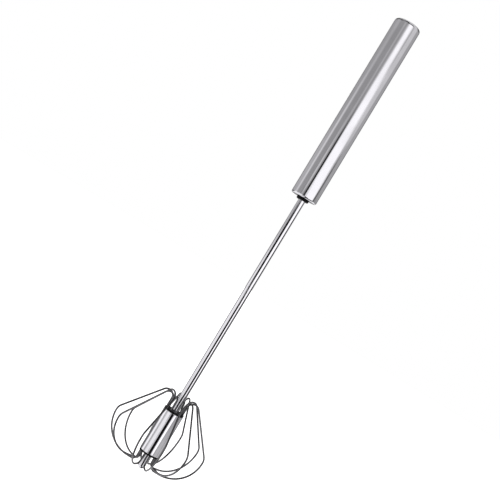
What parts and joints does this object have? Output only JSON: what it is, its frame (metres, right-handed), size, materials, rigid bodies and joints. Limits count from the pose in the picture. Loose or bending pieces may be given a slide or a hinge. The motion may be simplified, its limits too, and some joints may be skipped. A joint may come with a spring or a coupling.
{
  "type": "push-down rotary whisk",
  "caption": "Hand whisk whose wire loops spin as its round steel handle is pushed down over the shaft, and spring back.",
  "frame": {"origin": "lowest point of the shaft's rounded tip, on the tool's axis", "axes": "+Z along the tool's axis towards the top of the handle; +X points to wire loop 1"},
  "size_m": [0.0706, 0.0684, 0.3534],
  "materials": {
    "handle_steel": "satin polished stainless steel",
    "shaft_steel": "bright polished stainless steel",
    "hub_steel": "bright polished stainless steel",
    "wire_steel": "bright drawn stainless wire",
    "inner_steel": "plain rolled steel",
    "spring_steel": "drawn spring wire",
    "black_plastic": "moulded, fine matt grain",
    "white_nylon": "moulded natural nylon",
    "bumper_rubber": "soft matt rubber"
  },
  "bodies": {
    "handle": {"handle_tube": "handle_steel", "handle_cap": "handle_steel", "mouth_ring": "handle_steel", "mouth_bush": "black_plastic", "bumper_ring": "bumper_rubber", "top_plug": "white_nylon", "spiral_bar": "inner_steel", "bar_pin": "inner_steel", "upper_spring_seat": "inner_steel", "return_spring": "spring_steel"},
    "spring_seat": {"thrust_washer": "inner_steel"},
    "whisk": {"drive_nut": "white_nylon", "shaft_tube": "shaft_steel", "shaft_tip": "shaft_steel", "hub_core": "black_plastic", "hub_sleeve": "hub_steel", "wire_loop_01": "wire_steel", "wire_loop_02": "wire_steel", "wire_loop_03": "wire_steel", "wire_loop_04": "wire_steel", "wire_loop_05": "wire_steel", "wire_loop_06": "wire_steel", "wire_loop_07": "wire_steel", "wire_loop_08": "wire_steel", "wire_loop_09": "wire_steel", "wire_loop_10": "wire_steel"}
  },
  "joints": [
    {"name": "plunge", "type": "slide", "parent": "handle", "child": "spring_seat", "axis": [0, 0, 1], "range_m": [0, 0.08], "stiffness_N_per_m": 150, "springref_m": -0.02, "deforming": ["return_spring"]},
    {"name": "spin", "type": "hinge", "parent": "spring_seat", "child": "whisk", "pos_m": [0, 0, 0], "axis": [0, 0, 1], "range_deg": [0, 900]}
  ],
  "couplings": [
    {"joint": "spin", "follows": "plunge", "rad_per_m": 196.35}
  ]
}
